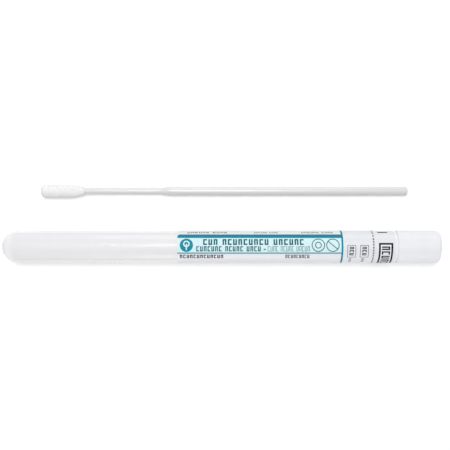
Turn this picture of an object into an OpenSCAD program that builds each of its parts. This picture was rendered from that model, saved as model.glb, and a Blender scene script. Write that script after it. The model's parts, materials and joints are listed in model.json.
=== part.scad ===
// Specimen swab tube: a round-bottomed tube with a push-in cap, a label that
// seals the two together, and its flocked swab lying beside it.
// +X runs from the tube's closed end to its cap, +Z is up and Z = 0 is the table.

/* [Tube] */
// Outer diameter of the tube
tube_d = 12.8; // [11:0.1:18]
// Length of the tube from its closed end to its mouth
tube_len = 149; // [120:0.5:200]
// Thickness of the tube's wall
tube_wall = 0.9; // [0.7:0.1:1.3]
// Thickness of the solid bottom, on the axis
floor_t = 4.2; // [2:0.1:8]
// Radius of the corner at the bottom of the bore
floor_r = 2; // [0.5:0.1:3]
// Step in radius from the bore to the wider seat for the plug
seat_step = 0.2; // [0.1:0.05:0.3]
// Chamfer inside the mouth
mouth_chamfer = 0.25; // [0.1:0.05:0.4]

/* [Moulded marks] */
// Distance from the closed end to the first mark
mark_start = 36.5; // [20:0.5:40]
// Number of marks in a row
mark_count = 9; // [1:1:12]
// Distance from one mark to the next
mark_pitch = 1.7; // [1.2:0.1:2.5]
// Width of a mark along the tube
mark_w = 0.8; // [0.4:0.1:1]
// Length of a mark around the tube
mark_arc = 1.6; // [0.8:0.1:2.5]
// Height of a mark above the tube's surface
mark_h = 0.1; // [0.05:0.01:0.12]

/* [Cap] */
// Length of the plug that goes into the tube
plug_len = 8; // [5:0.5:12]
// Free space left past the end of the plug
plug_end_gap = 0.5; // [0.2:0.1:1]
// Thickness of the plug's wall
plug_wall = 1.1; // [0.8:0.1:1.6]
// Radial clearance between the plug and its seat
plug_clear = 0.15; // [0.1:0.01:0.3]
// Radial clearance at the sealing bead
bead_clear = 0.03; // [0.01:0.01:0.08]
// Radius of the sealing bead's section
bead_r = 0.5; // [0.3:0.1:0.8]
// Gap between the tube's mouth and the cap's shoulder
seat_gap = 0.1; // [0.05:0.01:0.2]
// Length of the skirt that carries the end of the label
skirt_len = 8.3; // [6:0.1:14]
// Width of the groove between skirt and grip
groove_w = 1.3; // [0.8:0.1:2]
// Depth of the groove
groove_depth = 0.3; // [0.1:0.05:0.5]
// Length of the grip
grip_len = 17.3; // [12:0.1:30]
// Height of the grip above the tube's surface
grip_rise = 0.15; // [0.15:0.05:0.5]
// Rounding at the end of the grip
grip_fillet = 1.2; // [0.4:0.1:2]
// Rounding at the grip's shoulder
shoulder_fillet = 0.3; // [0.1:0.05:0.5]
// Thickness of the cap's closed end
cap_end_t = 2; // [1.2:0.1:4]

/* [Label] */
// Distance from the closed end to the label
label_start = 71; // [65:0.5:80]
// Thickness of the label
label_t = 0.1; // [0.06:0.01:0.12]
// Angle of the label's outer edge from the top, away from the print
seam_angle = 49; // [30:1:60]
// How far the label lies over its own other edge
overlap = 1.8; // [1:0.1:1.8]
// Radius of the label's corners
corner_r = 1.4; // [0.5:0.1:1.6]

/* [Print] */
// Thickness of the tinted field
tint_t = 0.02; // [0.01:0.01:0.04]
// Thickness of the ink
ink_t = 0.03; // [0.01:0.01:0.04]
// Distance from the coloured panel's end to the tear line
panel_end = 13; // [11:0.5:16]
// Width of the band along the label's outer edge
band_w = 1.8; // [1:0.1:1.8]
// Space between two rows of print
row_gap = 0.5; // [0.3:0.05:0.8]
// Length of the dash in the second row
dash_len = 0.8; // [0.5:0.1:1.2]
// How much of the rows' length the second row's bold words take
bold_share = 0.62; // [0.5:0.01:0.64]
// How much farther along than the second row the title starts, past half a badge space
title_indent = 1.4; // [0:0.1:3]
// Height of the title's marks
title_h = 2.4; // [1.5:0.05:2.5]
// Height of the second row's marks
second_h = 2.05; // [1.4:0.05:2.3]
// Height of the small marks below the panel
small_h = 1.7; // [1:0.1:2]
// Height of the tiny marks at the label's covered edge
tiny_h = 1; // [0.6:0.1:1.4]
// Distance from the lap to the tiny marks
tiny_gap = 0.9; // [0.5:0.1:1.5]
// Width of the rule under the panel
rule_w = 0.45; // [0.2:0.05:0.5]
// Width of the ring at the end of the panel
ring_w = 0.7; // [0.4:0.1:1]
// Space between a badge and the edges of the panel
badge_gap = 0.35; // [0.2:0.05:0.6]
// Distance from the label's start to the badge
badge_at = 1; // [0.6:0.1:1.6]
// Space from the badge to the rows, and from the rows to the round symbols
badge_space = 2.6; // [2:0.1:3.5]
// Distance from the ring to the nearest round symbol
symbol_at = 0.8; // [0.6:0.1:1.5]
// Line width of the round symbols
symbol_w = 0.32; // [0.2:0.02:0.4]
// Width of an outlined box along the tube
box_w = 3.4; // [2.5:0.1:4]
// Height of an outlined box around the tube
box_h = 5.2; // [5:0.1:8]
// Line width of the outlined boxes
box_line = 0.2; // [0.1:0.05:0.4]
// Distance from one dash of the tear line to the next
tear_pitch = 1.15; // [1:0.05:2]
// Length of a dash around the label
tear_dash = 0.6; // [0.4:0.05:0.8]
// Width of a dash
tear_w = 0.45; // [0.2:0.05:0.6]
// Distance from the dashes to the tear line
tear_margin = 0.1; // [0.05:0.05:0.3]
// Distance from the tear line to the seal's frame
frame_at = 1.7; // [1:0.1:2.5]
// Distance from the seal's frame to the end of the seal
frame_end = 0.9; // [0.8:0.1:2]
// Distance from the label's outer edge to the seal's frame
frame_s = 3.9; // [3:0.1:6]
// Height of the seal's frame around the cap
frame_h = 18.5; // [12:0.5:20]
// Line width of the seal's frame
frame_line = 0.7; // [0.4:0.1:1]

/* [Swab] */
// Length of the swab
swab_len = 150; // [130:1:170]
// Diameter of the flocked tip
tip_d = 5.5; // [4:0.1:7]
// Length of the flocked tip
tip_len = 17.9; // [12:0.1:25]
// Length of the tapered shoulder of the flock
tip_shoulder = 4.6; // [2:0.1:6]
// Thickness of the flock past the end of the core
tip_cover = 1.5; // [1:0.1:3]
// Diameter of the thin neck
neck_d = 2.6; // [2:0.1:3]
// Distance from the tip's end to the break point
break_at = 49; // [35:0.5:90]
// Length of the taper from the neck to the handle
taper_len = 3.3; // [1:0.1:6]
// Diameter of the handle
handle_d = 3.5; // [3.2:0.1:4]
// Rounding at the end of the handle
handle_fillet = 0.6; // [0.2:0.1:1]

/* [Layout] */
// Distance between the axes of the tube and the swab
spacing = 22.6; // [15:0.1:40]
// How far the swab's middle lies past the tube's middle
swab_shift = 1.6; // [-5:0.1:5]

/* [Hidden] */
$fn = 96;
cut = 0.05;                      // how far cutting tools run past a face
bite = 0.01;                     // a hair: how far a cut marks the layer below
word_gap = 0.7;                  // gap between two words, in letter pitches
letter_fill = 0.72;              // width of a letter's block, in letter pitches
bold_line = 0.27;                // line widths of the rows, in letter pitches
plain_line = 0.2;
thin_line = 0.15;

tube_r = tube_d / 2;
bore_r = tube_r - tube_wall;
seat_r = bore_r + seat_step;
seat_depth = plug_len + plug_end_gap - seat_gap;
plug_r = seat_r - plug_clear;
bead_top = seat_r - bead_clear;
hollow_r = plug_r - plug_wall;
cap_start = tube_len + seat_gap;
grip_start = skirt_len + groove_w;
cap_len = grip_start + grip_len;
total_len = cap_start + cap_len;
grip_r = tube_r + grip_rise;

skin_r = tube_r + label_t;       // face of the label's first layer
flap_r = skin_r + label_t;       // face where the label lies over itself
tint_r = skin_r + tint_t;        // face of the tinted field
label_len = tube_len - label_start;
seal_len = skirt_len - seat_gap;

ring_x = tube_len - panel_end;   // end of the coloured panel
panel_len = ring_x - label_start;
title_s = overlap + row_gap;
second_s = title_s + title_h + row_gap;
rule_s = second_s + second_h + row_gap;
small_s = rule_s + rule_w + row_gap;
badge_s = (overlap + rule_s) / 2;
badge_r = (rule_s - overlap) / 2 - badge_gap;
badge_x = label_start + badge_at + badge_r;
symbol_pitch = 2 * badge_r + row_gap;
symbol_x = [ring_x - symbol_at - badge_r, ring_x - symbol_at - badge_r - symbol_pitch];
rows_x = badge_x + badge_r + badge_space;
rows_len = symbol_x[1] - badge_r - badge_space - rows_x;
title_x = rows_x + title_indent;
title_len = rows_len - title_indent;
bold_x = rows_x - badge_space / 2;
bold_len = rows_len * bold_share;
dash_x = bold_x + bold_len + dash_len;
thin_x = dash_x + 2 * dash_len;
thin_len = symbol_x[1] - badge_r - row_gap - thin_x;
small_len = panel_len * 0.27;    // the small rows below the panel
small_end_x = ring_x - panel_len * 0.34;
small_end_len = panel_len * 0.15;
tiny_rows = [[0.06, 0.25], [0.47, 0.15], [0.76, 0.2]];  // start and length, in panel_len
box_gap = (panel_end - ring_w - tear_margin - tear_w - 2 * box_w) / 3;
frame_w = seal_len - frame_at - frame_end;
turn = 2 * PI * skin_r;          // once round the label
mm_deg = 360 / turn;             // degrees around the label for each millimetre

tip_r = tip_d / 2;
neck_r = neck_d / 2;
handle_r = handle_d / 2;
bud_end = tip_len - tip_shoulder;
handle_end = swab_len - handle_fillet;
lean = atan((tip_r - handle_r) / (handle_end - bud_end));
tip_z = bud_end * sin(lean) + tip_r * cos(lean);

rest_r = max(grip_r, skin_r + ink_t);
tube_y = (rest_r - spacing - tip_r) / 2;
swab_y = tube_y + spacing;

// Where the first (0) and the second (1) outlined box starts
function box_x(i) = ring_x + ring_w + box_gap + i * (box_w + box_gap);

// ---- placing ----------------------------------------------------------------

// Stands a shape's own Z axis along the tube, with Z = 0 at the closed end
module on_tube() {
    translate([-total_len / 2, tube_y, rest_r]) rotate([0, 90, 0]) children();
}

// The same for the swab, which leans so that tip and handle both touch the table
module on_swab() {
    translate([swab_shift - swab_len / 2, swab_y, tip_z])
        rotate([0, 90 + lean, 0]) children();
}

// ---- shapes shared by several parts -----------------------------------------

// Half section of a round bar from 0 to len, rounded at its far end
module rounded_bar(r, len, fillet) {
    square([r - fillet, len]);
    square([r, len - fillet]);
    translate([r - fillet, len - fillet])
        intersection() {
            circle(fillet);
            square(fillet);
        }
}

// Turns to a place on the label: s runs round from the label's outer edge
module at_label(x, s) {
    translate([0, 0, x]) rotate([0, 0, 180 - seam_angle + s * mm_deg]) children();
}

// A curved rectangle that lies on radius r from x and s, w long and h around
module patch(x, s, w, h, r, t) {
    at_label(x, s)
        rotate_extrude(angle = h * mm_deg) translate([r, 0]) square([t, w]);
}

// A ring all the way round
module sleeve(x, len, r, t) {
    translate([0, 0, x])
        difference() {
            cylinder(h = len, r = r + t);
            translate([0, 0, -cut]) cylinder(h = len + 2 * cut, r = r);
        }
}

// A flat outline wrapped on radius r about the place x, s
module wrapped(x, s, size, r, t) {
    intersection() {
        sleeve(x - size - cut, 2 * (size + cut), r, t);
        at_label(x, s) rotate([0, 90, 0]) linear_extrude(r + 2 * t) children();
    }
}

// Cuts right through the ink of a patch
module gap_in_ink(x, s, w, h, r) {
    patch(x, s, w, h, r - cut, ink_t + 2 * cut);
}

// A mark that stands for a letter: a block, open at its end, foot or head (kind 0
// to 2). turned = true sets it for a row that runs round the tube.
module glyph(x, s, w, h, line, kind, turned, r) {
    from = [[line, line], [line, line], [line, -cut]][kind];
    size = [[w, h - 2 * line], [w - 2 * line, h], [w - 2 * line, h - line + cut]][kind];
    difference() {
        if (turned) patch(x, s, h, w, r, ink_t);
        else patch(x, s, w, h, r, ink_t);
        if (turned) gap_in_ink(x + h - from[1] - size[1], s + from[0], size[1], size[0], r);
        else gap_in_ink(x + from[0], s + from[1], size[0], size[1], r);
    }
}

// How many letter pitches the first n words of a row take, with the gaps after them
function letters(words, n) = n == 0 ? 0 : letters(words, n - 1) + words[n - 1] + word_gap;

// A row of words that fills the given length, each word a number of glyphs of
// height h. The line is a share of the letter pitch.
module row(x, s, words, length, h, line, turned = false, r = skin_r) {
    pitch = length / (letters(words, len(words)) - word_gap);
    for (i = [0 : len(words) - 1], j = [0 : words[i] - 1]) {
        along = (letters(words, i) + j) * pitch;
        glyph(turned ? x : x + along, turned ? s + along : s,
              pitch * letter_fill, h, pitch * line, (i + 2 * j + len(words)) % 3, turned, r);
    }
}

// A frame of the given line width, w along the tube and h around it
module frame(x, s, w, h, line, r = skin_r) {
    difference() {
        patch(x, s, w, h, r, ink_t);
        gap_in_ink(x + line, s + line, w - 2 * line, h - 2 * line, r);
    }
}

// ---- tube and cap -----------------------------------------------------------

module bore_section() {
    square([bore_r - floor_r, tube_len]);
    translate([bore_r - floor_r, floor_r])
        intersection() {
            circle(floor_r);
            translate([0, -floor_r]) square(floor_r);
        }
    translate([0, floor_r]) square([bore_r, tube_len]);
}

module tube() color([0.9, 0.91, 0.93, 0.55]) on_tube() {
    difference() {
        union() {
            translate([0, 0, tube_r]) cylinder(h = tube_len - tube_r, r = tube_r);
            translate([0, 0, tube_r]) sphere(tube_r);
            for (i = [0 : mark_count - 1], side = [0, 90])
                translate([0, 0, mark_start + i * mark_pitch])
                    rotate([0, 0, 180 + side - mark_arc / 2 * mm_deg])
                        rotate_extrude(angle = mark_arc * mm_deg)
                            translate([bore_r + tube_wall / 2, 0])
                                square([tube_wall / 2 + mark_h, mark_w]);
        }
        translate([0, 0, floor_t]) rotate_extrude() bore_section();
        translate([0, 0, tube_len - seat_depth])
            cylinder(h = seat_depth + cut, r = seat_r);
        translate([0, 0, tube_len - mouth_chamfer])
            cylinder(h = mouth_chamfer, r1 = seat_r, r2 = seat_r + mouth_chamfer);
    }
}

module cap() color([0.93, 0.94, 0.96]) on_tube() translate([0, 0, cap_start]) {
    rotate_extrude() difference() {
        union() {
            translate([0, -plug_len]) square([plug_r, plug_len + cut]);
            translate([bead_top - bead_r, -plug_len / 2]) circle(bead_r);
            square([tube_r, skirt_len]);
            translate([0, skirt_len - cut])
                square([tube_r - groove_depth, groove_w + 2 * cut]);
            translate([0, grip_start]) rounded_bar(grip_r, grip_len, grip_fillet);
        }
        translate([0, -plug_len - cut])
            square([hollow_r, plug_len + cap_len - cap_end_t + cut]);
        translate([grip_r - shoulder_fillet, grip_start - cut])
            difference() {
                square(shoulder_fillet + cut);
                translate([0, shoulder_fillet + cut]) circle(shoulder_fillet);
            }
    }
}

// ---- label ------------------------------------------------------------------

// What rounds a corner off the label's outer edge, at its near end 0 or far end 1.
// The circle is a little large, so that it crosses the edges and doesn't touch them.
module corner_cut(x, end, r, t) {
    wrapped(x, 0, corner_r, r, t)
        mirror([end, 0])
            difference() {
                square(2 * corner_r, center = true);
                translate([-corner_r, corner_r]) circle(corner_r * 1.05);
            }
}

// A length of label: one turn round the tube, whose outer edge laps over the other
module label_piece(x, len, end) {
    difference() {
        union() {
            sleeve(x, len, tube_r, label_t);
            patch(x, 0, len, overlap, skin_r - label_t / 2, label_t * 3 / 2);
        }
        corner_cut(x + end * len, end, skin_r - bite, label_t + cut);
    }
}

module label() color([0.93, 0.94, 0.95]) on_tube()
    label_piece(label_start, label_len, 0);

module seal_band() color([0.93, 0.94, 0.95]) on_tube()
    label_piece(cap_start, seal_len, 1);

// ---- print ------------------------------------------------------------------

module panel_tint() color([0.87, 0.97, 0.98]) on_tube()
    patch(label_start, overlap, panel_len, rule_s - overlap, skin_r, tint_t);

// The band on the lapped edge, which follows the label's rounded corner
module band() {
    difference() {
        patch(label_start, 0, panel_len - bite, band_w, flap_r, ink_t);
        corner_cut(label_start, 0, flap_r - cut, ink_t + 2 * cut);
    }
}

// The ring round the end of the panel, on both layers of the label
module end_ring() {
    patch(ring_x, 0, ring_w, overlap, flap_r, ink_t);
    patch(ring_x, overlap, ring_w, turn - overlap, skin_r, ink_t);
}

// A filled disc with a plain round-headed swab left bare in it
module badge() {
    head_s = -badge_r * 0.2;
    wrapped(badge_x, badge_s, badge_r, tint_r, ink_t)
        difference() {
            circle(badge_r);
            translate([0, head_s])
                difference() {
                    circle(badge_r * 0.5);
                    circle(badge_r * 0.3);
                }
            translate([-badge_r / 10, head_s]) square([badge_r / 5, badge_r * 0.95]);
        }
}

// A circle drawn with a thin line
module ring(x, r) {
    wrapped(x, badge_s, r, tint_r, ink_t)
        difference() {
            circle(r);
            circle(r - symbol_w);
        }
}

module teal_print() color([0.1, 0.42, 0.5]) on_tube() {
    band();
    patch(label_start, rule_s, panel_len - bite, rule_w, skin_r, ink_t);
    end_ring();
    badge();
    row(title_x, title_s, [3, 9, 6], title_len, title_h, bold_line, r = tint_r);
    row(bold_x, second_s, [7, 5, 4], bold_len, second_h, bold_line, r = tint_r);
    patch(dash_x, second_s + second_h / 2, dash_len, rule_w, tint_r, ink_t);
    row(thin_x, second_s, [4, 5, 5], thin_len, second_h, thin_line, r = tint_r);
    for (x = symbol_x) ring(x, badge_r);
    ring(symbol_x[1], badge_r / 2);
    wrapped(symbol_x[0], badge_s, badge_r, tint_r, ink_t)
        rotate(-40) square([2 * badge_r - symbol_w, symbol_w], center = true);
}

module black_print() color([0.15, 0.16, 0.18]) on_tube() {
    row(label_start + badge_at, small_s, [13], small_len, small_h, bold_line);
    row(small_end_x, small_s, [9], small_end_len, small_h, bold_line);
    for (i = [0, 1])
        row(box_x(i) + box_w / 4, badge_s + box_h / 8, [3], box_h * 3 / 4, box_w / 2,
            bold_line, turned = true);
    tear_x = tube_len - tear_w - tear_margin;
    patch(tear_x, (overlap - tear_dash) / 2, tear_w, tear_dash, flap_r, ink_t);
    for (s = [overlap + tear_pitch / 6 : tear_pitch : turn - tear_dash])
        patch(tear_x, s, tear_w, tear_dash, skin_r, ink_t);
}

module grey_print() color([0.5, 0.52, 0.55]) on_tube() {
    for (i = [0, 1]) {
        frame(box_x(i), badge_s, box_w, box_h, box_line);
        row(box_x(i) + box_w / 4, badge_s + box_h + row_gap, [4], box_h / 2, box_w / 4,
            plain_line, turned = true);
    }
    for (place = tiny_rows)
        row(label_start + panel_len * place[0], turn - tiny_gap - tiny_h, [6, 4],
            panel_len * place[1], tiny_h, plain_line);
}

module seal_print() color([0.13, 0.13, 0.15]) on_tube() {
    x = cap_start + frame_at;
    letters_w = frame_w - 2 * frame_line - 2 * row_gap;
    frame(x, frame_s, frame_w, frame_h, frame_line);
    row(x + frame_line + row_gap, frame_s + 2 * frame_line, [8],
        frame_h - 4 * frame_line, letters_w, bold_line, turned = true);
    patch(x, turn - tiny_gap - tiny_h, frame_w * 0.7, frame_line, skin_r, ink_t);
}

// ---- swab -------------------------------------------------------------------

module shaft_section() {
    translate([0, tip_cover]) square([neck_r, break_at - tip_cover]);
    polygon([[0, break_at], [neck_r, break_at],
             [handle_r, break_at + taper_len], [0, break_at + taper_len]]);
    translate([0, break_at + taper_len])
        rounded_bar(handle_r, swab_len - break_at - taper_len, handle_fillet);
}

module swab_shaft() color([0.95, 0.95, 0.95]) on_swab()
    rotate_extrude() shaft_section();

module flock_tip() color([0.98, 0.98, 0.97]) on_swab()
    rotate_extrude() difference() {
        union() {
            translate([0, bud_end]) mirror([0, 1]) rounded_bar(tip_r, bud_end, tip_r * 0.7);
            polygon([[0, bud_end], [tip_r, bud_end],
                     [neck_r + 0.3, tip_len], [0, tip_len]]);
        }
        translate([0, tip_cover]) square([neck_r, tip_len]);
    }

tube();
cap();
label();
seal_band();
panel_tint();
teal_print();
black_print();
grey_print();
seal_print();
swab_shaft();
flock_tip();
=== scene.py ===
# %% [markdown]
# # A specimen swab tube, dressed in Blender
#
# The object is a lab tube as long as a pencil: frosted plastic with a round bottom,
# a white cap pushed into its mouth, and a paper label that runs over both, so that
# an opened tube shows. Beside it lies its swab, a thin moulded stick with a tip of
# short nylon fibres.
#
# Every piece below is built in that frame, in the same place, and rides on one of
# its two bodies: the tube or the cap.

# %% Load the frame
import json
import math

import bmesh
import bpy
import numpy as np
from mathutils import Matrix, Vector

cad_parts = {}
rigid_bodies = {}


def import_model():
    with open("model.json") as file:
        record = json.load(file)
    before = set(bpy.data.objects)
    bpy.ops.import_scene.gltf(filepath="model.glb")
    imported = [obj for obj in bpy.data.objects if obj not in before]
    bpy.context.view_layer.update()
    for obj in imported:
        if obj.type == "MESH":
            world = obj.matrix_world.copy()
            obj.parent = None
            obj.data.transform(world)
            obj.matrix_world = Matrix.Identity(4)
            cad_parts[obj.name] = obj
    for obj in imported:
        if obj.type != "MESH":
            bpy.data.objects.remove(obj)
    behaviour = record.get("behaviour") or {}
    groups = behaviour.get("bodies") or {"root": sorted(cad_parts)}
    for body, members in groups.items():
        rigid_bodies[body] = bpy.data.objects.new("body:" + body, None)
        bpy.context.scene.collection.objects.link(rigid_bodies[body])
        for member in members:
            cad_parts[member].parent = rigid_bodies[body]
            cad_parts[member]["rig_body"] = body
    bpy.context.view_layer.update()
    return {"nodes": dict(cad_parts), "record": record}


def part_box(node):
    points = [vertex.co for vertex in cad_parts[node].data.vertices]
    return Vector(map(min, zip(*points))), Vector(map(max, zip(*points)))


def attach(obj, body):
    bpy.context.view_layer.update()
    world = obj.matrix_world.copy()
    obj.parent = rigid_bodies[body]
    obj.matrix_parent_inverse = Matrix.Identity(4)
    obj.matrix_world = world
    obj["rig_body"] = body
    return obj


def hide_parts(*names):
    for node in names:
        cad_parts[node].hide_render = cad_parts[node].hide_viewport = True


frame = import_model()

# %% [markdown]
# ## Sizes
#
# Blender works in metres, but a tube this small is easier to think about in
# millimetres. So lengths stay in millimetres until the moment a point is placed.
# Whatever a node's box can tell is read from it, and only what no box shows, such
# as the depth of a groove, is written here as a number.

# %% Measure the tube, the cap and the label
MM = 0.001


def box_mm(node):
    """The lowest and highest corner of a CAD node, in millimetres."""
    low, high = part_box(node)
    return low / MM, high / MM


tube_low, tube_high = box_mm("tube")
cap_low, cap_high = box_mm("cap")
axis_y = (cap_low.y + cap_high.y) / 2
axis_z = (cap_low.z + cap_high.z) / 2
closed_end = tube_low.x

tube_r = tube_high.y - axis_y
mouth = tube_high.x - closed_end
grip_r = cap_high.z - axis_z
cap_end = cap_high.x - closed_end
plug_end = cap_low.x - closed_end

bore = next(m for m in frame["record"]["mounts"] if m["name"] == "tube_bore")
bore_r = bore["dims"]["r_mm"]
bore_from = bore["pos_m"][0] / MM - bore["dims"]["length_mm"] / 2 - closed_end
print(f"tube r {tube_r:.2f}, bore r {bore_r:.2f}, mouth at {mouth:.1f}, cap to {cap_end:.1f} mm")

# %% [markdown]
# ## Outlines, and spinning them
#
# Tube, cap and stick are all turned shapes. The simplest way to make one is to draw
# half of its section, as a list of corners, and spin that about the axis. A moulded
# part has no truly sharp corner, so each corner carries a radius. The arc is worked
# out, not drawn by hand, and a point just past each end of it holds the flat beside
# it flat when the surface is shaded smooth.

# %% Draw an outline with rounded corners


def rounded(corners):
    """Corners of (x, r, fillet) as outline points, with each fillet an arc."""
    outline = [np.array(corners[0][:2], float)]
    for before, corner, after in zip(corners, corners[1:], corners[2:]):
        point = np.array(corner[:2], float)
        back = np.array(before[:2], float) - point
        ahead = np.array(after[:2], float) - point
        room = min(np.linalg.norm(back), np.linalg.norm(ahead))
        back /= np.linalg.norm(back)
        ahead /= np.linalg.norm(ahead)
        half = math.acos(np.clip(back @ ahead, -1, 1)) / 2
        reach = corner[2] / math.tan(half)
        if reach < 1e-6:
            outline.append(point)
            continue
        inward = (back + ahead) / np.linalg.norm(back + ahead)
        middle = point + inward * corner[2] / math.sin(half)
        first = point + back * reach - middle
        last = point + ahead * reach - middle
        start = math.atan2(first[1], first[0])
        sweep = math.atan2(last[1], last[0]) - start
        sweep = (sweep + math.pi) % (2 * math.pi) - math.pi
        step_angle = math.radians(4 if corner[2] > 1 else 12)
        count = max(4, round(abs(sweep) / step_angle))
        hold = min(0.25 * reach, 0.45 * (room - reach))
        if hold > 0.005:
            outline.append(point + back * (reach + hold))
        for step in range(count + 1):
            turned_by = start + sweep * step / count
            spoke = np.array([math.cos(turned_by), math.sin(turned_by)])
            outline.append(middle + corner[2] * spoke)
        if hold > 0.005:
            outline.append(point + ahead * (reach + hold))
    outline.append(np.array(corners[-1][:2], float))
    kept = [p for p, q in zip(outline, outline[1:]) if np.linalg.norm(p - q) > 1e-6]
    return kept + [outline[-1]]


print("a 2 mm corner takes", len(rounded([(0, 0, 0), (0, 5, 2), (5, 5, 0)])) - 2, "points")


# %% Spin an outline into a closed mesh


def columns(steps, extra=()):
    """Angles once round, evenly spaced, with some more where a detail needs them."""
    even = np.arange(steps) * 2 * math.pi / steps
    more = np.array(extra, float) % (2 * math.pi)
    angles = np.unique(np.round(np.concatenate([even, more]), 6))
    return angles[np.append(np.diff(angles) > 0.002, True)]


def turned(outline, place, angles, rise=None):
    """Points and faces of an outline that starts and ends on the axis, spun about it.

    place(x, r, angle) puts a point in the frame, and rise(x, r, angle) is how far
    the surface stands out from the outline there."""
    rings = np.array(outline[1:-1])
    count = len(angles)
    x = np.repeat(rings[:, 0], count)
    r = np.repeat(rings[:, 1], count)
    angle = np.tile(angles, len(rings))
    if rise is not None:
        r = r + rise(x, r, angle)
    ends = np.array([outline[0], outline[-1]])
    points = np.concatenate([place(x, r, angle), place(ends[:, 0], ends[:, 1], np.zeros(2))])
    faces = []
    for ring in range(len(rings) - 1):
        for column in range(count):
            a = ring * count + column
            b = ring * count + (column + 1) % count
            faces.append((a, b, b + count, a + count))
    first_end = len(rings) * count
    last_ring = first_end - count
    for column in range(count):
        following = (column + 1) % count
        faces.append((first_end, following, column))
        faces.append((first_end + 1, last_ring + column, last_ring + following))
    return points, faces


print("24 columns and two more make", len(columns(24, (0.1, 0.2))))

# %% Place points about the tube's axis


def on_tube(x, r, angle):
    """Points x from the closed end and r from the axis, turned from the top towards -Y."""
    y = axis_y - r * np.sin(angle)
    z = axis_z + r * np.cos(angle)
    return np.stack([closed_end + x, y, z], axis=-1) * MM


print("top of the tube's mouth, in metres:", on_tube(mouth, tube_r, 0).round(4))

# %% [markdown]
# A mesh becomes part of the model in `make_piece`. It turns the faces outwards, shades
# the surface smooth with sharp edges where it bends a lot, gives it a finish, puts it
# on the body that carries it and hides the CAD nodes it stands for.

# %% Make an object that rides on a body
SHARP = math.radians(40)


def make_piece(name, points, faces, body, slot, finish, stands_for=()):
    """A smooth-shaded object on a CAD body; the slot argument is not used."""
    mesh = bpy.data.meshes.new(name)
    mesh.from_pydata(points, [], faces)
    tidy = bmesh.new()
    tidy.from_mesh(mesh)
    bmesh.ops.recalc_face_normals(tidy, faces=tidy.faces)
    tidy.to_mesh(mesh)
    tidy.free()
    mesh.shade_smooth()
    mesh.set_sharp_from_angle(angle=SHARP)
    mesh.materials.append(finish)
    piece = bpy.data.objects.new(name, mesh)
    bpy.context.scene.collection.objects.link(piece)
    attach(piece, body)
    if stands_for:
        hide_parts(*stands_for)
    triangles = sum(len(p.vertices) - 2 for p in mesh.polygons)
    print(f"{name}: {triangles} triangles on {body}")
    return piece


# %% [markdown]
# ## Building materials from nodes
#
# A material in Blender is a small network of nodes, and wiring one by hand hides
# the idea behind it. Three short classes let a finish be written as a formula. A
# `Value` is a number that varies over the surface: adding or multiplying it makes
# the Math node that does so. `Nodes` is the network, and its `node` method makes any
# other node from its type, its settings and its sockets. A `Finish` is the network of
# one material, with the few patterns that every finish here is made of.

# %% Wrap a socket so that arithmetic works on it


class Value:
    """A number, colour or vector that a node gives out."""

    def __init__(self, network, socket):
        self.network = network
        self.socket = socket

    def maths(self, operation, first, second):
        settings = {"operation": operation}
        return self.network.node("ShaderNodeMath", settings, {0: first, 1: second})

    def __add__(self, other):
        return self.maths("ADD", self, other)

    def __sub__(self, other):
        return self.maths("SUBTRACT", self, other)

    def __rsub__(self, other):
        return self.maths("SUBTRACT", other, self)

    def __mul__(self, other):
        return self.maths("MULTIPLY", self, other)

    def __gt__(self, other):
        return self.maths("GREATER_THAN", self, other)

    def __lt__(self, other):
        return self.maths("LESS_THAN", self, other)

    __radd__ = __add__
    __rmul__ = __mul__


# %% A network that nodes are added to


class Nodes:
    """A tree of nodes that formulas are written into."""

    def __init__(self, tree):
        self.tree = tree
        tree.nodes.clear()

    def node(self, kind, settings=None, sockets=None, out=0):
        """A node's output, after its settings and then its sockets are set."""
        made = self.tree.nodes.new(kind)
        for name, setting in (settings or {}).items():
            if name == "stops":
                for stop, (position, colour) in zip(made.color_ramp.elements, setting):
                    stop.position = position
                    stop.color = colour
            else:
                setattr(made, name, setting)
        for name, value in (sockets or {}).items():
            if isinstance(value, Value):
                self.tree.links.new(value.socket, made.inputs[name])
            else:
                made.inputs[name].default_value = value
        return Value(self, made.outputs[out])

    def mix(self, factor, first, second):
        """One colour fading into another."""
        settings = {"data_type": "RGBA", "blend_type": "MIX"}
        return self.node("ShaderNodeMix", settings, {0: factor, 6: first, 7: second}, out=2)

    def seen(self):
        """1 where the camera looks, straight or by way of a gloss or a clear wall."""
        kinds = ("Is Camera Ray", "Is Glossy Ray", "Is Transmission Ray")
        camera_ray, glossy_ray, clear_ray = [
            self.node("ShaderNodeLightPath", out=kind) for kind in kinds]
        return (camera_ray + glossy_ray + clear_ray) > 0.5


# %% A material that is written as a formula


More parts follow.
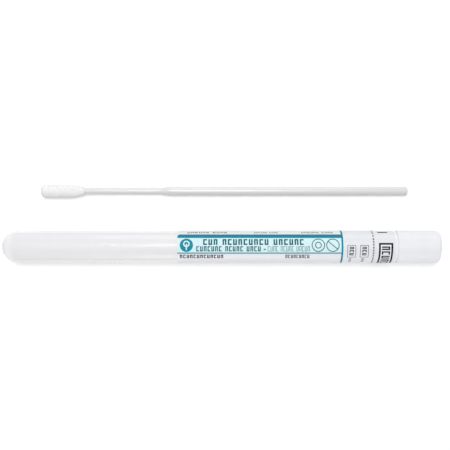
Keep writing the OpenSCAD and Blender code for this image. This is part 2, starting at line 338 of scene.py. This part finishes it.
class Finish(Nodes):
    """A material, with the places on the surface that its nodes read."""

    def __init__(self, name):
        self.material = bpy.data.materials.new(name)
        self.material.use_nodes = True
        super().__init__(self.material.node_tree)
        self.end = self.tree.nodes.new("ShaderNodeOutputMaterial")
        self.place = self.node("ShaderNodeTexCoord", out="Object")

    def grain(self, size, stretch=(1, 1, 1), detail=3.0):
        """Noise from 0 to 1 with spots about size millimetres across."""
        per_metre = [1 / (size * MM * s) for s in stretch]
        scaled = self.node("ShaderNodeVectorMath", {"operation": "MULTIPLY"},
                           {0: self.place, 1: per_metre})
        return self.node("ShaderNodeTexNoise", {},
                         {"Vector": scaled, "Scale": 1.0, "Detail": detail})

    def facing(self, start, end):
        """0 where the surface faces the eye, up to 1 where it turns away from it."""
        away = self.node("ShaderNodeLayerWeight", {}, {"Blend": 0.5}, out="Facing")
        return self.ramp(away, start, end)

    def ramp(self, value, start, end):
        """0 below start, 1 above end and a smooth step between them."""
        return self.node("ShaderNodeMapRange", {"interpolation_type": "SMOOTHSTEP"},
                         {"Value": value, "From Min": start, "From Max": end})

    def relief(self, height, depth):
        """A normal that makes the surface look depth millimetres rough."""
        return self.node("ShaderNodeBump", {}, {"Height": height, "Distance": depth * MM})

    def surface(self, **sockets):
        """Ends the material in a shader, with underscores for spaces in socket names."""
        named = {name.replace("_", " "): value for name, value in sockets.items()}
        shader = self.node("ShaderNodeBsdfPrincipled", {}, named)
        self.tree.links.new(shader.socket, self.end.inputs["Surface"])
        return self.material


# %% Colours as they look on screen


def tone(red, green, blue):
    """A colour given as 0 to 255 on screen, in the linear numbers that nodes take."""
    shares = [c / 255 for c in (red, green, blue)]
    return [c / 12.92 if c <= 0.04045 else ((c + 0.055) / 1.055) ** 2.4 for c in shares] + [1.0]


def grey(level):
    """An even grey, given in the same way."""
    return tone(level, level, level)


print("a mid grey on screen is", round(grey(128)[0], 3), "in linear light")

# %% [markdown]
# ## The tube's plastic
#
# The tube is polypropylene, which is milky by nature: the hollow inside shows as a
# soft grey and never as a clear view. Real transmission would lose most of its light
# between the inner walls and come out dark, so the surface is a near-white that lets
# a share of the view straight through with Alpha. How solid it looks depends on how
# much plastic the eye looks through: at the closed end it is several millimetres,
# and along the tube's sides the wall stands edge-on, which gives them a bright rim.
# Faint streaks stand for the flow of the plastic in its mould, and the gloss comes
# and goes in patches, as it does on a tube that has been handled.

# %% Frosted tube plastic


solid_from = closed_end + 3.6
solid_to = closed_end + 6.6


def frosted_plastic():
    """Milky plastic, more solid where the eye looks through more of it."""
    finish = Finish("frosted_plastic")
    flow = finish.grain(6, stretch=(6, 1, 1))
    haze = finish.grain(0.5)
    colour = finish.mix(flow, tone(250, 250, 253), tone(254, 254, 255))
    along = finish.node("ShaderNodeSeparateXYZ", {}, {"Vector": finish.place})
    solid_end = 1 - finish.ramp(along, solid_from * MM, solid_to * MM)
    edge_on = finish.facing(0.46, 0.6)
    polish = finish.ramp(finish.grain(9, stretch=(1.6, 0.8, 0.8), detail=1.0), 0.35, 0.65)
    thick = finish.node("ShaderNodeMath", {"operation": "MAXIMUM"}, {0: solid_end, 1: edge_on})
    return finish.surface(
        Base_Color=colour, Roughness=haze * 0.08 + 0.4 + flow * 0.06,
        Normal=finish.relief(haze * 0.4 + flow, 0.02), IOR=1.49,
        Coat_Weight=finish.facing(0.5, 1) * 0.3 + polish * 0.45 + 0.1, Coat_Roughness=0.1,
        Alpha=thick * 0.16 + flow * 0.04 + 0.8)


tube_finish = frosted_plastic()

# %% [markdown]
# ## The tube
#
# One outline goes from the closed end along the outside to the mouth, and back down
# the bore to the inner bottom. The dome is simply a corner whose radius is that of
# the tube. Just inside the mouth the bore is a little wider, as a seat for the plug.
#
# The mould left rows of small raised marks on the wall. They are part of the wall,
# so the spun surface itself is raised there, with extra rings and columns at the
# marks' edges so that the edges come out crisp.

# %% Sizes of the tube that its box doesn't show
floor_t = 4.2
floor_r = bore_from - floor_t
seat_step = 0.2
seat_r = bore_r + seat_step
seat_depth = 8.4
mouth_chamfer = 0.25
mark_from = 36.5
mark_count = 9
mark_pitch = 1.7
mark_w = 0.8
mark_arc = 1.6 / tube_r
mark_h = 0.1
mark_edge = 0.08
print(f"the bottom is {floor_t} mm thick, with corners of {floor_r:.1f} mm inside")

# %% Raise the moulded marks


def plateau(distance, half_width, edge):
    """1 up to half_width from the middle, then falling to 0 over the edge's width."""
    return np.clip((half_width - np.abs(distance)) / edge + 0.5, 0, 1)


mark_middles = [mark_from + mark_w / 2 + i * mark_pitch for i in range(mark_count)]
mark_angles = [0, math.pi / 2]


def mark_rise(x, r, angle):
    """Height of the marks above the tube's wall."""
    along = sum(plateau(x - middle, mark_w / 2, mark_edge) for middle in mark_middles)
    around = sum(plateau((angle - row + math.pi) % (2 * math.pi) - math.pi,
                         mark_arc / 2, mark_edge / tube_r) for row in mark_angles)
    on_outside = r > (bore_r + tube_r) / 2
    return np.where(on_outside, mark_h * along * around, 0)


print(len(mark_angles), "rows of", mark_count, "marks")

# %% Spin the tube
tube_outline = rounded([
    (0, 0, 0), (0, tube_r, tube_r), (mark_from - 2, tube_r, 0),
    *[(middle + side * (mark_w / 2 + lean * mark_edge / 2), tube_r, 0)
      for middle in mark_middles for side, lean in ((-1, 1), (-1, -1), (1, -1), (1, 1))],
    (mouth, tube_r, 0.2), (mouth, seat_r + mouth_chamfer, 0.08),
    (mouth - mouth_chamfer, seat_r, 0.1), (mouth - seat_depth, seat_r, 0.08),
    (mouth - seat_depth, bore_r, 0.08), (floor_t, bore_r, floor_r), (floor_t, 0, 0)])
mark_columns = [row + side * (mark_arc / 2 + lean * mark_edge / tube_r / 2)
                for row in mark_angles for side in (-1, 1) for lean in (-1, 1)]
make_piece(
    "tube_body", *turned(tube_outline, on_tube, columns(176, mark_columns), mark_rise),
    "tube", "tube_plastic", tube_finish, ["tube"])

# %% [markdown]
# ## The cap
#
# The cap is white polyethylene, softer than the tube and a little waxy. Light goes a
# short way into it, which a small amount of subsurface scattering shows. Its mould
# was finely textured, so the highlight is broad, and handling has left faint scuffs.

# %% White cap plastic


def cap_plastic():
    """Waxy white plastic with a fine texture and faint scuffs."""
    finish = Finish("cap_plastic")
    cloud = finish.grain(5)
    texture = finish.grain(0.18, detail=2.0)
    scuffs = finish.grain(1.2, stretch=(3, 0.5, 0.5)) > 0.66
    colour = finish.mix(cloud, tone(237, 238, 242), tone(243, 244, 248))
    return finish.surface(
        Base_Color=colour, Roughness=texture * 0.1 + 0.34 + scuffs * 0.05,
        Normal=finish.relief(texture + scuffs * 0.2, 0.012), IOR=1.5,
        Subsurface_Weight=0.25, Subsurface_Radius=(0.0012, 0.0012, 0.0013),
        Subsurface_Scale=1.0)


cap_finish = cap_plastic()

# %% [markdown]
# The plug and the hollow inside it are part of the same moulding, so the outline
# starts at the bottom of the hollow, comes out over the plug and its sealing bead,
# steps up to the skirt that the label is glued to, dips into the groove and runs
# along the grip to the flat end.

# %% Sizes of the cap that its box doesn't show
seat_gap = 0.1
skirt_len = 8.3
groove_w = 1.3
groove_depth = 0.3
grip_fillet = 1.2
plug_clear = 0.15
plug_wall = 1.1
bead_clear = 0.03
bead_r = 0.5
end_t = 2.0

cap_start = mouth + seat_gap
skirt_end = cap_start + skirt_len
grip_start = skirt_end + groove_w
groove_r = tube_r - groove_depth
plug_r = seat_r - plug_clear
hollow_r = plug_r - plug_wall
bead_middle = (cap_start + plug_end) / 2
bead_top = seat_r - bead_clear
print(f"plug r {plug_r:.2f}, hollow r {hollow_r:.2f}, grip from {grip_start:.1f} mm")

# %% Spin the cap
bead_half = math.acos((plug_r - bead_top + bead_r) / bead_r)
bead = [(bead_middle + bead_r * math.sin(t), bead_top - bead_r + bead_r * math.cos(t), 0)
        for t in np.linspace(-bead_half, bead_half, 9)]
cap_outline = rounded([
    (cap_end - end_t, 0, 0), (cap_end - end_t, hollow_r, 0.8), (plug_end, hollow_r, 0.25),
    (plug_end, plug_r, 0.4), *bead, (cap_start, plug_r, 0.1), (cap_start, tube_r, 0.12),
    (skirt_end, tube_r, 0.1), (skirt_end, groove_r, 0.15), (grip_start, groove_r, 0.15),
    (grip_start, grip_r, 0.3), (cap_end, grip_r, grip_fillet), (cap_end, 0, 0)])
make_piece("cap_body", *turned(cap_outline, on_tube, columns(176)),
           "cap", "cap_plastic", cap_finish, ["cap"])

# %% [markdown]
# ## The label
#
# The label is one strip of paper that goes once round and laps over itself. The lap
# is real here: the strip starts on top of its own other edge and then steps down to
# the tube within half a millimetre. So the sheet is built as a grid in the label's
# own flat coordinates, x along the tube and s round it from the outer edge, and each
# grid point is then rolled onto the tube at the height of the paper there.

# %% Roll flat label coordinates onto the tube
label_low, label_high = box_mm("label")
seal_low, seal_high = box_mm("seal_band")
label_t = label_high.y - axis_y - tube_r
skin_r = tube_r + label_t
seam_angle = math.radians(49)
overlap = 1.8
step_down = 0.45
turn = 2 * math.pi * skin_r
print(f"label {label_t:.2f} mm thick, {turn:.1f} mm round")


def lift(s):
    """How far the label's first layer is raised where it climbs onto the lap."""
    share = np.clip((overlap + step_down - s) / step_down, 0, 1)
    return label_t * share * share * (3 - 2 * share)


def on_label(x, s, r):
    """A flat place on the label, s round from its outer edge, at radius r."""
    return on_tube(x, r, s / skin_r - seam_angle)


# %% [markdown]
# The tear line between the two halves is a perforation. Real perforated paper hangs
# together by small ties, and when it is torn each tie leaves a little tooth on both
# edges. The two edges get those teeth, so they meet at rest and look torn when the
# cap is pulled.

# %% Build a strip of label
film = 0.006
tie_pitch = 1.15
tie_from = 0.565
tie_w = 0.45
tie_len = 0.048
tie_edge = 0.08
corner_r = 1.4
panel_end = 13
panel_to = mouth - panel_end
bleed_w = 1.1


def corner_inset(s):
    """How far the rounded corner sets the edge back near the label's outer edge."""
    return corner_r - np.sqrt(np.maximum(corner_r ** 2 - np.maximum(corner_r - s, 0) ** 2, 0))


def ties(s):
    """How far the perforation's ties stand out of the torn edge."""
    middle = np.round((s - tie_from) / tie_pitch) * tie_pitch + tie_from
    return tie_len * plateau(s - middle, tie_w / 2, tie_edge)


def label_strip(x_from, x_to, torn_end):
    """Points and faces of a closed thin strip, torn at its far end (1) or near end (0)."""
    even = np.append(np.arange(0, turn + overlap, 0.3), turn - bleed_w)
    tie_edges = [tie_from + i * tie_pitch + side * (tie_w / 2 + lean * tie_edge / 2)
                 for i in range(int(turn / tie_pitch) + 2) for side in (-1, 1) for lean in (-1, 1)]
    bend = np.concatenate([np.linspace(0, corner_r, 12) ** 2 / corner_r,
                           np.linspace(overlap, overlap + step_down, 8)])
    s = np.concatenate([even, bend, [turn + overlap], np.array(tie_edges)])
    s = np.unique(np.round(s[(s >= 0) & (s <= turn + overlap)], 4))
    near = x_from - ties(s) if torn_end == 0 else x_from + corner_inset(s)
    far = x_to + ties(s) if torn_end == 1 else x_to - corner_inset(s)
    panel_share = np.clip((panel_to - x_from) / (x_to - x_from), 0, 1)
    shares = np.unique([0, 0.004, 0.03, 0.2, 0.5, panel_share, 0.9, 0.97, 0.996, 1])
    x = near[None, :] + (far - near)[None, :] * shares[:, None]
    wide = np.broadcast_to(s, x.shape)
    outer = on_label(x, wide, skin_r + lift(wide))
    inner = on_label(x, wide, skin_r + lift(wide) - label_t + film)
    rows, cols = x.shape
    points = np.concatenate([outer.reshape(-1, 3), inner.reshape(-1, 3)])
    faces = []
    for row in range(rows - 1):
        for col in range(cols - 1):
            a = row * cols + col
            faces.append((a, a + 1, a + 1 + cols, a + cols))
            a += rows * cols
            faces.append((a, a + cols, a + 1 + cols, a + 1))
    border = [*range(cols), *(row * cols + cols - 1 for row in range(1, rows)),
              *((rows - 1) * cols + col for col in range(cols - 2, -1, -1)),
              *(row * cols for row in range(rows - 2, 0, -1))]
    for a, b in zip(border, border[1:] + border[:1]):
        faces.append((a, b, b + rows * cols, a + rows * cols))
    return points, faces


# %% [markdown]
# Label stock is smooth paper under a thin satin varnish. Up close it still shows its
# fibres, as a faint mottle in the colour and a low relief under the gloss.

# %% Label paper


def label_paper():
    """Smooth white paper with a satin varnish."""
    finish = Finish("label_paper")
    fibres = finish.grain(0.25, stretch=(2.5, 1, 1), detail=4.0)
    mottle = finish.grain(3)
    colour = finish.mix(fibres * 0.6 + mottle * 0.4, tone(228, 229, 234), tone(238, 239, 244))
    return finish.surface(
        Base_Color=colour, Roughness=fibres * 0.12 + 0.36,
        Normal=finish.relief(fibres, 0.006), Coat_Weight=0.15, Coat_Roughness=0.25)


paper_finish = label_paper()

# %% Wrap the label and its seal
label_x = (label_low.x - closed_end, mouth)
seal_x = (cap_start, seal_high.x - closed_end)
label_wrap = make_piece("label_wrap", *label_strip(*label_x, torn_end=1),
                        "tube", "label_paper", paper_finish, ["label"])
make_piece("label_seal", *label_strip(*seal_x, torn_end=0),
           "cap", "label_paper", paper_finish, ["seal_band"])

# %% [markdown]
# ## The print
#
# The CAD model holds the print as thin raised marks, with its words as rows of open
# blocks. Their straight edges are exact, but a curved face comes out of CAD as a few
# wide flats, which would sink into the rounder label under it. So each print node is
# rolled flat, sliced every third of a millimetre, and rolled back onto the true
# curve. Nothing about the layout changes. Rolling flat has one catch: a mark that
# touches the seam could be read on either side of it, so the places are followed
# from point to point along the mesh and never jump.

# %% Read where a print node lies on the flat label
seam_slack = 0.3


def around_label(y, z):
    """How far round the label a point is from the outer edge, and its radius."""
    angle = math.atan2(axis_y - y, z - axis_z)
    return (angle + seam_angle) * skin_r, math.hypot(y - axis_y, z - axis_z)


def flat_places(marks):
    """Each point's (x, s, r) on the label, continuous within every mark."""
    places = {}
    for start in marks.verts:
        if start in places:
            continue
        waiting = [(start, None)]
        while waiting:
            vert, from_s = waiting.pop()
            if vert in places:
                continue
            x, y, z = vert.co / MM
            s, r = around_label(y, z)
            if from_s is None:
                s = (s + seam_slack) % turn - seam_slack
            else:
                s += turn * round((from_s - s) / turn)
            places[vert] = (x - closed_end, s, r)
            waiting += [(edge.other_vert(vert), s) for edge in vert.link_edges]
    return places


print("the seam is at", [round(v, 2) for v in around_label(*on_label(0, 0, skin_r)[1:] / MM)])

# %% Slice the flat print and roll it back
slice_w = 0.33
hair = 0.001


def printed(name, node, finishes, slot, pick=None):
    """A print node rebuilt on the label's true curve, on the body of the CAD node."""
    source = frame["nodes"][node]
    marks = bmesh.new()
    marks.from_mesh(source.data)
    bmesh.ops.remove_doubles(marks, verts=marks.verts, dist=hair * MM)
    places = flat_places(marks)
    for vert, place in places.items():
        vert.co = place
    low = min(place[1] for place in places.values())
    high = max(place[1] for place in places.values())
    for s in np.arange(low + slice_w, high, slice_w):
        everything = [*marks.verts, *marks.edges, *marks.faces]
        bmesh.ops.bisect_plane(marks, geom=everything, dist=hair / 2,
                               plane_co=(0, s, 0), plane_no=(0, 1, 0))
    if pick is not None:
        for face in marks.faces:
            face.material_index = pick(*face.calc_center_median()[:2])
    chosen = [face.material_index for face in marks.faces]
    for vert in marks.verts:
        x, s, r = vert.co
        on_first_layer = r < skin_r + label_t - hair and s >= overlap - hair
        climb = lift(s) if on_first_layer else 0
        vert.co = on_label(x, s, r + climb)
    marks.verts.index_update()
    points = [vert.co[:] for vert in marks.verts]
    faces = [[vert.index for vert in face.verts] for face in marks.faces]
    marks.free()
    piece = make_piece(name, points, faces, source["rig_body"], slot, finishes[0], [node])
    for finish in finishes[1:]:
        piece.data.materials.append(finish)
    piece.data.polygons.foreach_set("material_index", chosen)
    return piece


# %% [markdown]
# Ink is one finish in several colours. It lies thinner in some spots than in others,
# so the paper shows through a little: the colour moves between a full and a thin
# tone with a fine noise, and the gloss follows it.

# %% Inks


def ink(name, full, thin):
    """Printed ink that varies between its full tone and a thinner one."""
    finish = Finish(name)
    cover = finish.grain(0.12, detail=2.0) * 0.6 + finish.grain(2.2) * 0.4
    return finish.surface(
        Base_Color=finish.mix(cover, full, thin), Roughness=cover * 0.15 + 0.4,
        Normal=finish.relief(cover, 0.004), Specular_IOR_Level=0.12, Coat_Weight=0.02,
        Coat_Roughness=0.25)


cyan_field = ink("pale_cyan_ink", tone(213, 245, 251), tone(226, 250, 254))
teal_ink = ink("teal_ink", tone(12, 124, 145), tone(28, 140, 162))
deep_ink = ink("deep_teal_ink", tone(0, 88, 98), tone(8, 102, 113))
badge_ink = ink("badge_ink", tone(8, 132, 152), tone(28, 150, 170))
black_ink = ink("black_ink", tone(10, 11, 14), tone(30, 32, 36))
grey_ink = ink("grey_ink", tone(78, 81, 87), tone(110, 113, 119))

# %% [markdown]
# The tint is printed a little wider than the panel, so that the lap can sit slightly
# off without baring white paper. A narrow strip of it shows beside the outer edge.
# It needs no shape of its own: the faces of the label there take the tint's ink.

# %% Let the tint show beside the lapped edge
label_wrap.data.materials.append(cyan_field)
tinted = 0
for face in label_wrap.data.polygons:
    x, y, z = face.center / MM
    s, r = around_label(y, z)
    if x - closed_end < panel_to and -bleed_w < s < 0 and abs(r - skin_r) < label_t / 4:
        face.material_index = 1
        tinted += 1
print(tinted, "faces of the label are tinted")

# %% [markdown]
# The teal print comes in three strengths: the band and the ring in the plain one,
# the rows in a deeper one that reads well, and the round badge in a lighter one. All
# three are one node, so each face picks its ink by where it lies: the badge is the
# only mark in the first few millimetres below the band, and the rows come after it.

# %% Print the label
badge_from = label_x[0] + 0.8
badge_to = label_x[0] + 6.4
rows_from = 2.0
rows_to = 7.3


def teal_strength(x, s):
    """0 for the band and the ring, 1 for the badge and 2 for the rows."""
    if not rows_from < s < rows_to or x > panel_to:
        return 0
    return 1 if badge_from < x < badge_to else 2


printed("tinted_field", "panel_tint", [cyan_field], "pale_cyan_ink")
printed("teal_marks", "teal_print", [teal_ink, badge_ink, deep_ink], "teal_ink",
        teal_strength)
printed("black_marks", "black_print", [black_ink], "black_ink")
printed("grey_marks", "grey_print", [grey_ink], "grey_ink")
printed("seal_marks", "seal_print", [black_ink], "black_ink")

# %% [markdown]
# ## The swab's stick
#
# The stick is moulded polystyrene: a thin neck that carries the tip, a short taper
# where it is made to break, and a thicker handle. It lies on the table on its tip
# and on the end of its handle, so its axis leans by less than half a degree. Where
# the two halves of the mould met, a fine line of flash runs along both sides.

# %% Place points about the swab's axis
shaft_low, shaft_high = box_mm("swab_shaft")
flock_low, flock_high = box_mm("flock_tip")
handle_r = (shaft_high.y - shaft_low.y) / 2
tip_r = (flock_high.y - flock_low.y) / 2
swab_y = (flock_low.y + flock_high.y) / 2
tip_len = flock_high.x - flock_low.x
swab_len = shaft_high.x - flock_low.x
shoulder = 4.6
cover = 1.5
neck_r = 1.3
break_at = 49.0
taper_len = 3.3
handle_fillet = 0.6
bud_end = tip_len - shoulder
lean = math.atan((tip_r - handle_r) / (swab_len - handle_fillet - bud_end))
tip_z = bud_end * math.sin(lean) + tip_r * math.cos(lean)
print(f"swab {swab_len:.1f} mm long, leaning {math.degrees(lean):.2f} degrees")


def on_swab(x, r, angle):
    """Points x from the tip's end and r from the swab's own leaning axis."""
    up = r * np.cos(angle)
    along = x * math.cos(lean) + up * math.sin(lean)
    height = tip_z - x * math.sin(lean) + up * math.cos(lean)
    return np.stack([flock_low.x + along, swab_y - r * np.sin(angle), height], axis=-1) * MM


# %% Stick plastic


def stick_plastic():
    """Hard, glossy plastic with the streaks of its mould."""
    finish = Finish("stick_plastic")
    flow = finish.grain(4, stretch=(8, 1, 1))
    texture = finish.grain(0.15, stretch=(2, 1, 1), detail=2.0)
    colour = finish.mix(flow, tone(220, 220, 222), tone(228, 228, 229))
    return finish.surface(
        Base_Color=colour, Roughness=texture * 0.08 + 0.22,
        Normal=finish.relief(texture * 0.5 + flow * 0.5, 0.006), IOR=1.55,
        Specular_IOR_Level=0.8)


stick_finish = stick_plastic()

# %% Spin the stick
flash_h = 0.03
flash_w = 0.12
flash_angles = [math.pi / 2, -math.pi / 2]


def flash_rise(x, r, angle):
    """The fine line that the halves of the mould leave along both sides."""
    total = 0
    for side in flash_angles:
        away = (angle - side + math.pi) % (2 * math.pi) - math.pi
        total = total + np.clip(1 - np.abs(away) * r / flash_w, 0, 1)
    in_sight = (x > tip_len) & (r > 1)
    return np.where(in_sight, flash_h * total, 0) - flash_h


stick_outline = rounded([
    (cover, 0, 0), (cover, neck_r, 0.3), (break_at, neck_r, 0.8),
    (break_at + taper_len, handle_r, 0.8), (swab_len, handle_r, handle_fillet), (swab_len, 0, 0)])
flash_columns = [side + away / 1.5 for side in flash_angles for away in (-flash_w, 0, flash_w)]
make_piece(
    "swab_stick", *turned(stick_outline, on_swab, columns(72, flash_columns), flash_rise),
    "tube", "shaft_plastic", stick_finish, ["swab_shaft"])

# %% [markdown]
# ## The flocked tip
#
# Flocking shoots short nylon fibres at a glued tip in an electric field, so they all
# stand on end like velvet. No bump map gives that edge against the light, so the
# fibres are real: many thousands of thin three-sided spikes on a bud that is smaller
# by their length. They lean a little, and neighbours lean alike, because a smooth
# function of their place sets most of the lean and chance only the rest.
#
# Bud and fibres have a finish each. The bud's relief stands for the roots that are
# too many to build. A fibre of white nylon lets light through to its neighbours, and
# a little Alpha does that here: solid white spikes would shade each other to grey.

# %% Two finishes for the flock


def flock_base():
    """The matt white bud, dense with the roots of the fibres."""
    finish = Finish("flock_base")
    pile = finish.grain(0.1, detail=2.0)
    clumps = finish.grain(0.9)
    colour = finish.mix(clumps * 0.5 + pile * 0.5, grey(250), grey(254))
    return finish.surface(
        Base_Color=colour, Roughness=clumps * 0.05 + 0.9,
        Normal=finish.relief(pile + clumps, 0.06), Sheen_Weight=0.3)


def flock_hair():
    """A fibre, which lets some of the light through."""
    finish = Finish("flock_hair")
    clumps = finish.grain(0.9)
    return finish.surface(
        Base_Color=finish.mix(clumps, grey(250), grey(254)), Roughness=clumps * 0.05 + 0.9,
        Alpha=clumps * 0.1 + 0.4)


flock_finish = flock_base()
pile_finish = flock_hair()

# %% Spin the bud that carries the fibres
nap = 0.2
bud_r = tip_r - nap
bud_neck_r = neck_r + nap
bud_bore_r = neck_r + 0.02
bud_to = tip_len - 0.1
bud_skin = rounded([
    (nap, 0, 0), (nap, bud_r, bud_r * 0.72), (bud_end, bud_r, 3.0),
    (bud_to, bud_neck_r, 0.1), (bud_to, bud_bore_r, 0)])
bud_bore = rounded([(bud_to, bud_bore_r, 0), (cover, bud_bore_r, 0), (cover, 0, 0)])


def clump_rise(x, r, angle):
    """Soft unevenness of the glued bud."""
    wave = np.sin(x * 2.1 + 1.3 * np.sin(angle * 2)) + np.sin(angle * 3 + x * 0.9)
    return np.where(r > neck_r + 0.1, 0.02 * wave - 0.03, 0)


make_piece(
    "flock_bud", *turned(bud_skin + bud_bore[1:], on_swab, columns(96), clump_rise),
    "tube", "flock", flock_finish, ["flock_tip"])

# %% Stand the fibres on the bud
fibre_count = 16000
fibre_w = 0.016
root_depth = 0.05
alike = 0.35
apart = 0.28
chance = np.random.default_rng(11)


def flock_fibres(count):
    """Points and faces of spikes spread evenly over the bud's skin."""
    skin = np.array(bud_skin[:-1])
    steps = np.diff(skin, axis=0)
    lengths = np.linalg.norm(steps, axis=1)
    areas = lengths * (skin[:-1, 1] + skin[1:, 1]) / 2
    piece = chance.choice(len(areas), count, p=areas / areas.sum())
    share = chance.random(count)
    root = skin[piece] + steps[piece] * share[:, None]
    out = np.stack([-steps[piece, 1], steps[piece, 0]], axis=1) / lengths[piece, None]
    angle = chance.random(count) * 2 * math.pi
    sweep = alike * np.sin(root[:, 0] * 1.7 + 2 * np.sin(angle * 2))
    sweep += chance.normal(0, apart, count)
    comb = alike * np.cos(root[:, 0] * 1.1 + angle * 3)
    comb += chance.normal(0, apart, count)
    height = nap * chance.uniform(0.75, 1.0, count)
    x = root[:, 0] + out[:, 0] * height + sweep * height * out[:, 1]
    r = root[:, 1] + out[:, 1] * height - sweep * height * out[:, 0]
    tip = on_swab(np.maximum(x, 0.02), np.minimum(r, tip_r - 0.02), angle + comb * height / tip_r)
    foot = []
    for corner in range(3):
        about = corner * 2 * math.pi / 3 + angle * 5
        foot_x = root[:, 0] - out[:, 0] * root_depth + fibre_w * np.cos(about) * out[:, 1]
        foot_r = root[:, 1] - out[:, 1] * root_depth - fibre_w * np.cos(about) * out[:, 0]
        foot_angle = angle + fibre_w * np.sin(about) / np.maximum(foot_r, 0.2)
        foot.append(on_swab(foot_x, foot_r, foot_angle))
    points = np.stack([*foot, tip], axis=1).reshape(-1, 3)
    first = np.arange(count)[:, None] * 4
    faces = np.concatenate([first + corners for corners in
                            ([0, 1, 3], [1, 2, 3], [2, 0, 3], [0, 2, 1])])
    return points, faces.tolist()


make_piece("flock_fibres", *flock_fibres(fibre_count), "tube", "flock", pile_finish)

# %% [markdown]
# ## Table, light and camera
#
# The object lies on plain white, under a soft light overhead that leans a little to
# the back. Two weaker ones, low in front and low behind, open up the sides of the
# tube, in a room that is bright all round.
#
# The table is a pale diffuse surface that catches the shadow. To the camera it glows
# a little as well, which lifts it to white and sends no extra light onto the object.
# Far from the lamps it glows more, so that it stays white in a low view too.

# %% Table
table_white = 222
table_seen = 238
table_glow = 0.3
far_glow = 0.68
far_from = 0.15
far_to = 0.9


def table_finish():
    """Pale and matt, and lifted to white where the camera sees it."""
    finish = Finish("table")
    cloud = finish.grain(40)
    seen = finish.seen()
    pale = finish.mix(cloud, grey(table_white), grey(table_white + 2))
    colour = finish.mix(seen, pale, grey(table_seen))
    distance = finish.node("ShaderNodeVectorMath", {"operation": "LENGTH"},
                           {0: finish.place}, out="Value")
    near_light = (table_glow, table_glow, table_glow, 1)
    far_light = (far_glow, far_glow, far_glow, 1)
    lift = finish.mix(finish.ramp(distance, far_from, far_to), near_light, far_light)
    glow = finish.mix(seen, (0, 0, 0, 1), lift)
    return finish.surface(Base_Color=colour, Roughness=cloud * 0.05 + 0.9,
                          Specular_IOR_Level=0.0, Emission_Color=glow, Emission_Strength=1.0)


table_half = 1.5
table_mesh = bpy.data.meshes.new("table")
table_mesh.from_pydata([(-table_half, -table_half, 0), (table_half, -table_half, 0),
                        (table_half, table_half, 0), (-table_half, table_half, 0)],
                       [], [(0, 1, 2, 3)])
table = bpy.data.objects.new("table", table_mesh)
table_mesh.materials.append(table_finish())
bpy.context.scene.collection.objects.link(table)
print("table", 2 * table_half, "m wide")

# %% The bright room
room_light = 0.45
world = bpy.data.worlds.new("room")
bpy.context.scene.world = world
world.use_nodes = True
room = Nodes(world.node_tree)
strength = room.seen() * (1 - room_light) + room_light
background = room.node("ShaderNodeBackground", {}, {"Color": (1, 1, 1, 1), "Strength": strength})
room_end = world.node_tree.nodes.new("ShaderNodeOutputWorld")
world.node_tree.links.new(background.socket, room_end.inputs["Surface"])
print("the room lights the object at", room_light, "and looks white")

# %% Lamps


def soft_light(name, place, size, power):
    """A square lamp at a place in metres that faces the object."""
    data = bpy.data.lights.new(name, "AREA")
    data.shape = "SQUARE"
    data.size = size
    data.energy = power
    lamp = bpy.data.objects.new(name, data)
    lamp.location = place
    lamp.rotation_euler = (-lamp.location).to_track_quat("-Z", "Y").to_euler()
    bpy.context.scene.collection.objects.link(lamp)
    return lamp


key = soft_light("key", (-0.04, 0.2, 0.93), 0.3, 3.6)
soft_light("fill", (0.0, -0.8, 0.22), 0.4, 1.6)
soft_light("back", (0.0, 0.8, 0.25), 0.4, 1.5)
print("key light", round(key.location.length, 2), "m away")

# %% [markdown]
# The camera looks straight down from a little over 30 centimetres, with a longish
# lens, so the sides of the tube show evenly and its two ends lean outwards slightly.

# %% Camera
camera_x = 0.0019
camera_y = -0.00065
camera_height = 0.298
camera_data = bpy.data.cameras.new("camera")
camera_data.lens = 59
camera_data.sensor_width = 36
camera_data.clip_start = 0.01
camera = bpy.data.objects.new("camera", camera_data)
camera.location = (camera_x, camera_y, axis_z * MM + camera_height)
bpy.context.scene.collection.objects.link(camera)
bpy.context.scene.camera = camera
bpy.context.scene.view_settings.view_transform = "Standard"
print("camera", camera_height, "m above the tube's axis")
